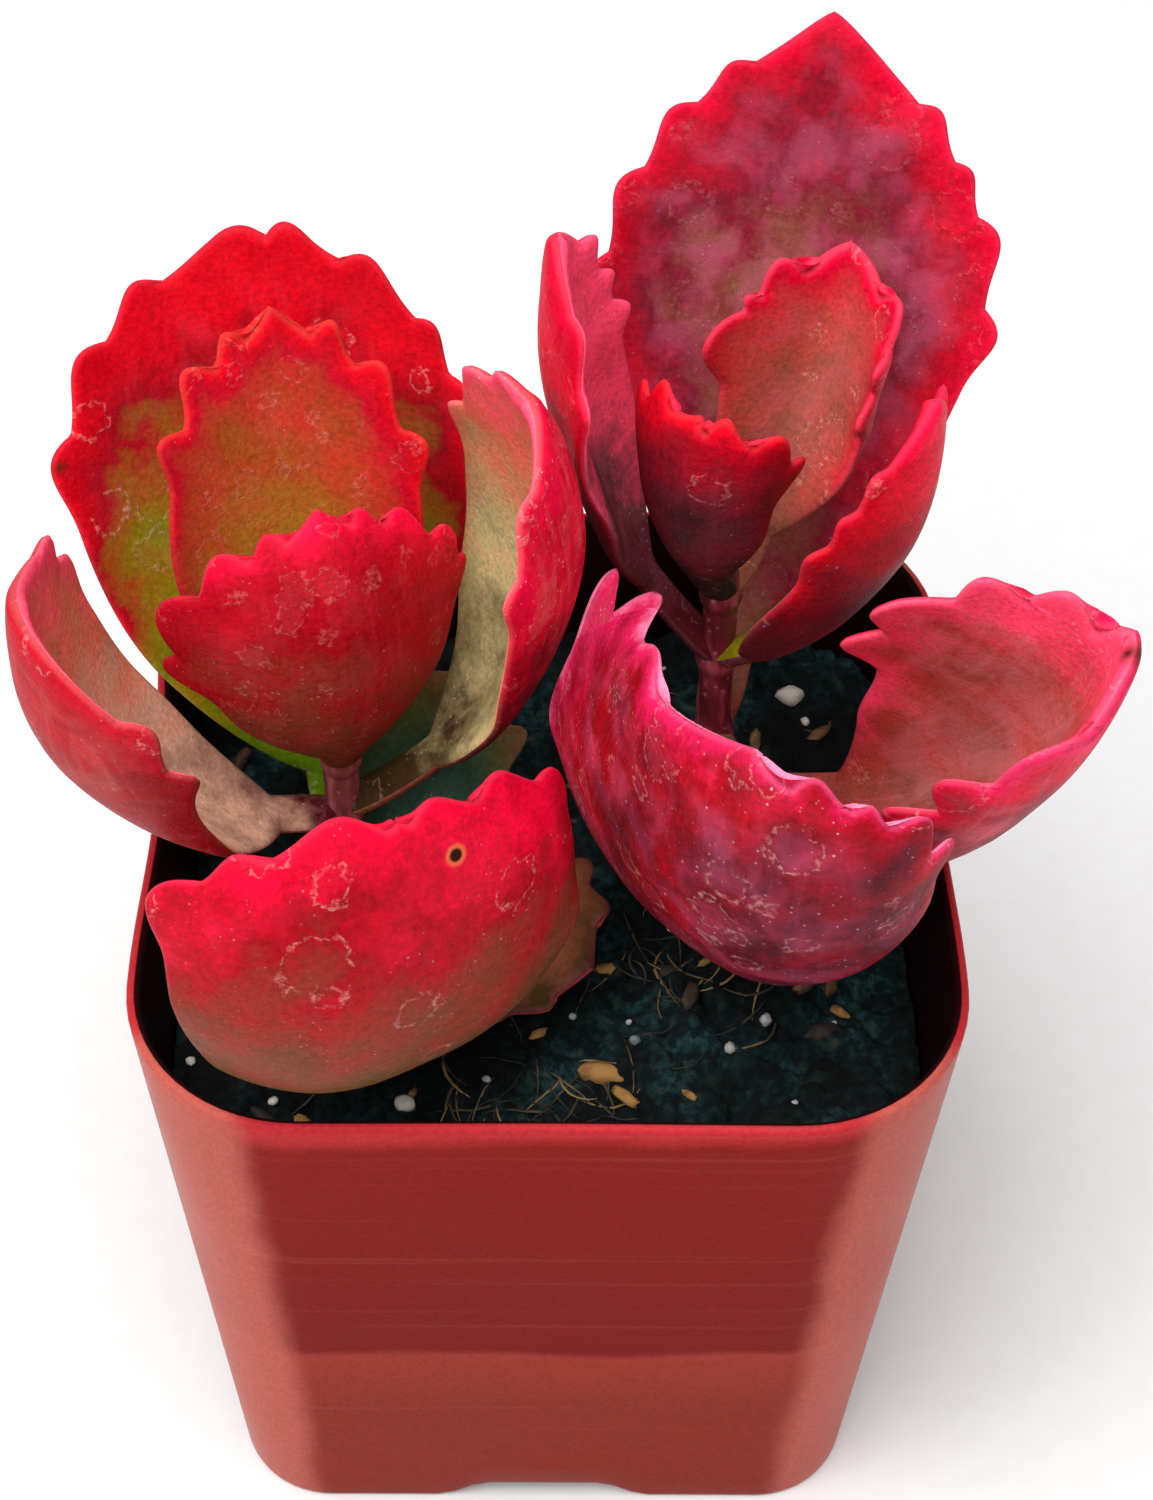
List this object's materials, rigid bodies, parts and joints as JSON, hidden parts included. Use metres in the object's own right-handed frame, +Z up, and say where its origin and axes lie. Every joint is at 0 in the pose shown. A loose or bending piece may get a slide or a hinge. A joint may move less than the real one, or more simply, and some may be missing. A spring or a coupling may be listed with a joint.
{
  "type": "potted kalanchoe longiflora",
  "caption": "Red succulent with scalloped, cupped, opposite leaves on short upright stems, rooted in peat in a small square plastic nursery pot.",
  "frame": {"origin": "middle of the plant's footprint, seen from above, on the plane the pot stands on", "axes": "+Z up; -Y towards the front of the pot, where the two largest low leaves hang over the rim"},
  "size_m": [0.0818, 0.074, 0.1118],
  "materials": {
    "terracotta_plastic": "satin",
    "peat": "matte",
    "stem": "satin",
    "scarlet_leaf": "satin",
    "crimson_leaf": "satin",
    "rose_leaf": "satin",
    "orange_leaf": "satin",
    "green_leaf": "satin"
  },
  "bodies": {
    "root": {"pot": "terracotta_plastic", "soil": "peat", "left_stem": "stem", "right_stem": "stem", "left_leaf_0_right": "orange_leaf", "left_leaf_0_back": "green_leaf", "left_leaf_1_back": "scarlet_leaf", "left_leaf_1_front": "crimson_leaf", "left_leaf_2_left": "crimson_leaf", "left_leaf_2_right": "crimson_leaf", "left_leaf_3_back": "scarlet_leaf", "left_leaf_3_front": "crimson_leaf", "right_leaf_0_right": "rose_leaf", "right_leaf_1_back": "rose_leaf", "right_leaf_1_front": "rose_leaf", "right_leaf_2_left": "crimson_leaf", "right_leaf_2_right": "crimson_leaf", "right_leaf_3_back": "rose_leaf", "right_leaf_3_front": "crimson_leaf"}
  },
  "joints": []
}
